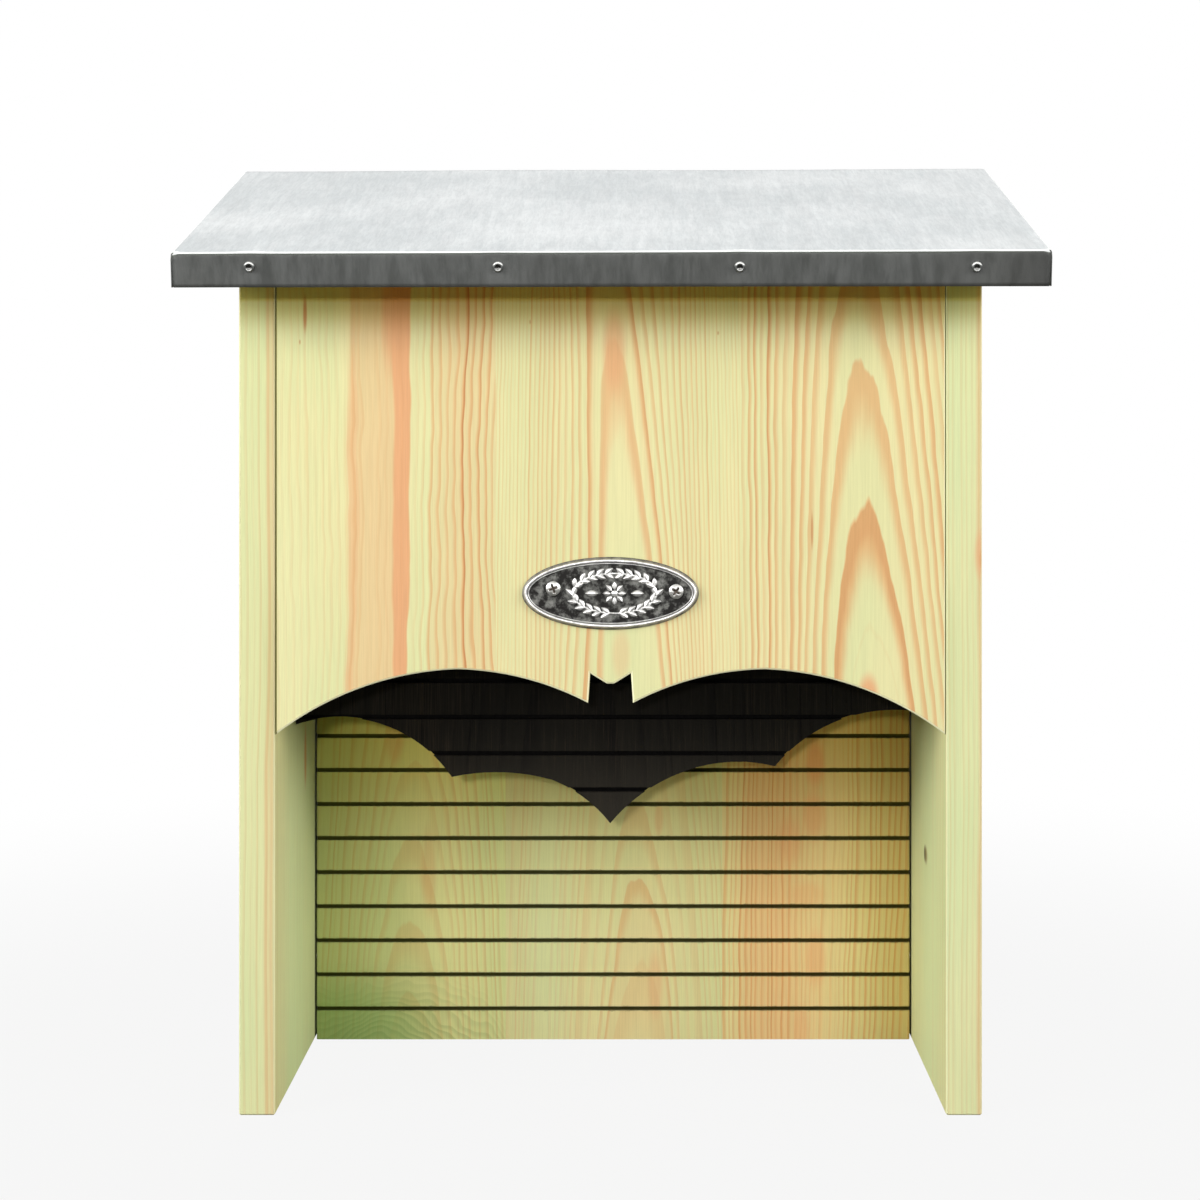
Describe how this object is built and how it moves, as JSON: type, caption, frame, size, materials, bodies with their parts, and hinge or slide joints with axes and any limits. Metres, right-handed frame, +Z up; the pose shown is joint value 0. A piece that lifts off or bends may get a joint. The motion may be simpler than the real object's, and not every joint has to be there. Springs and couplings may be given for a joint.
{
  "type": "bat box",
  "caption": "Wall-hung wooden bat box with a dark grooved partition between roosting chambers, a bat-shaped opening, a metal-clad sloping roof and a keyhole hanger.",
  "frame": {"origin": "middle of the footprint at the foot of the side boards", "axes": "+Z up, the front with the opening faces -Y, the wall side faces +Y, +X is to the right seen from the front"},
  "size_m": [0.3766, 0.1771, 0.4355],
  "materials": {
    "side_pine": "pressure-treated planed pine, unpainted, pale yellow-green with orange growth rings",
    "front_pine": "pressure-treated planed pine, unpainted, pale yellow-green with orange growth rings",
    "back_pine": "pressure-treated planed pine, unpainted, pale yellow-green with orange growth rings",
    "stained_pine": "pine with a nearly black matt stain, sawn kerfs",
    "roof_pine": "pressure-treated planed pine, unpainted, pale yellow-green with orange growth rings",
    "roof_metal": "galvanised sheet, dull, slightly mottled",
    "pin_steel": "bright plated steel",
    "screw_steel": "zinc-plated steel",
    "plate_metal": "cast metal, bright on the raised parts, dark in the field",
    "plate_screw_steel": "bright plated steel",
    "hanger_steel": "galvanised steel plate"
  },
  "bodies": {
    "root": {"side_panel_left": "side_pine", "side_panel_right": "side_pine", "front_stave_left": "front_pine", "front_stave_middle": "front_pine", "front_stave_right": "front_pine", "back_stave_left": "back_pine", "back_stave_middle": "back_pine", "back_stave_right": "back_pine", "inner_partition": "stained_pine", "roof_board": "roof_pine", "roof_sheet": "roof_metal", "sheet_pins_front": "pin_steel", "sheet_pins_left": "pin_steel", "sheet_pins_right": "pin_steel", "front_board_screws": "screw_steel", "partition_screws": "screw_steel", "back_board_screws": "screw_steel", "roof_board_screws": "screw_steel", "nameplate": "plate_metal", "nameplate_screws": "plate_screw_steel", "hanger_plate": "hanger_steel", "hanger_plate_screws": "screw_steel"}
  },
  "joints": []
}
